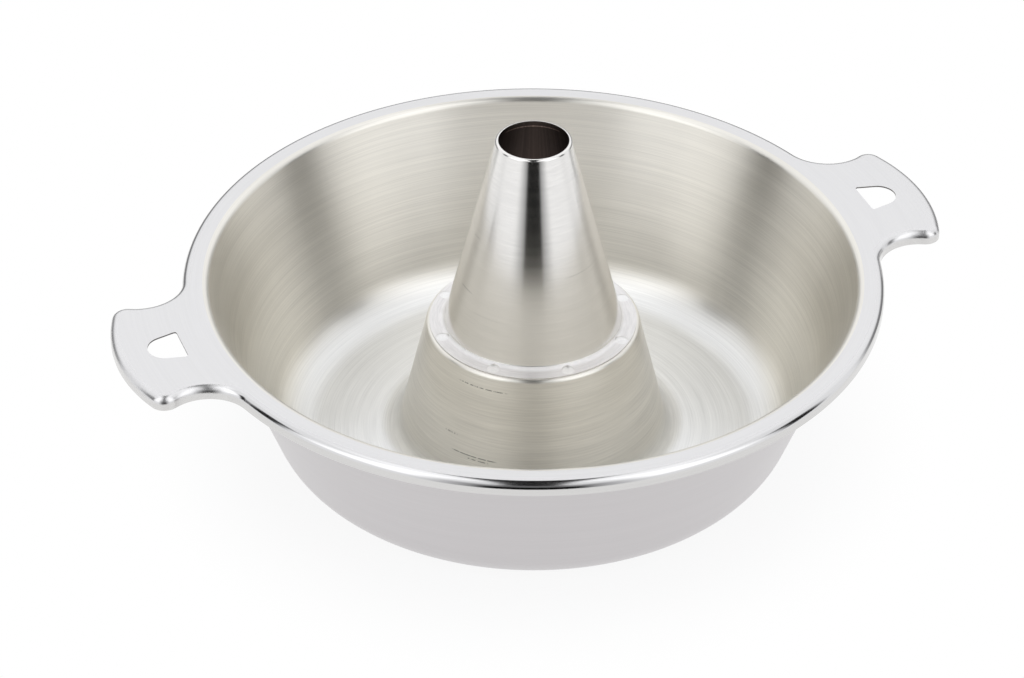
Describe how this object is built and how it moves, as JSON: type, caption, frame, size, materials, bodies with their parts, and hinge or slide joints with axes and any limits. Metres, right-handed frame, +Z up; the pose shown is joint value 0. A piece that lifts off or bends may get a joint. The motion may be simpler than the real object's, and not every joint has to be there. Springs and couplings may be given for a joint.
{
  "type": "chimney hot pot",
  "caption": "Round stainless hot pot with a tapered chimney rising from its floor, a flat rolled rim and waisted lug handles with hanging holes.",
  "frame": {"origin": "centre of the flat underside the pot stands on", "axes": "+Z up along the chimney, X through both handles, Y across them"},
  "size_m": [0.3386, 0.276, 0.1362],
  "materials": {
    "pot_steel": "satin brushed stainless",
    "stack_steel": "brushed stainless",
    "weld_steel": "pressed smooth by the welding electrode"
  },
  "bodies": {
    "root": {"pot_body": "pot_steel", "chimney_stack": "stack_steel", "spot_welds": "weld_steel"}
  },
  "joints": []
}
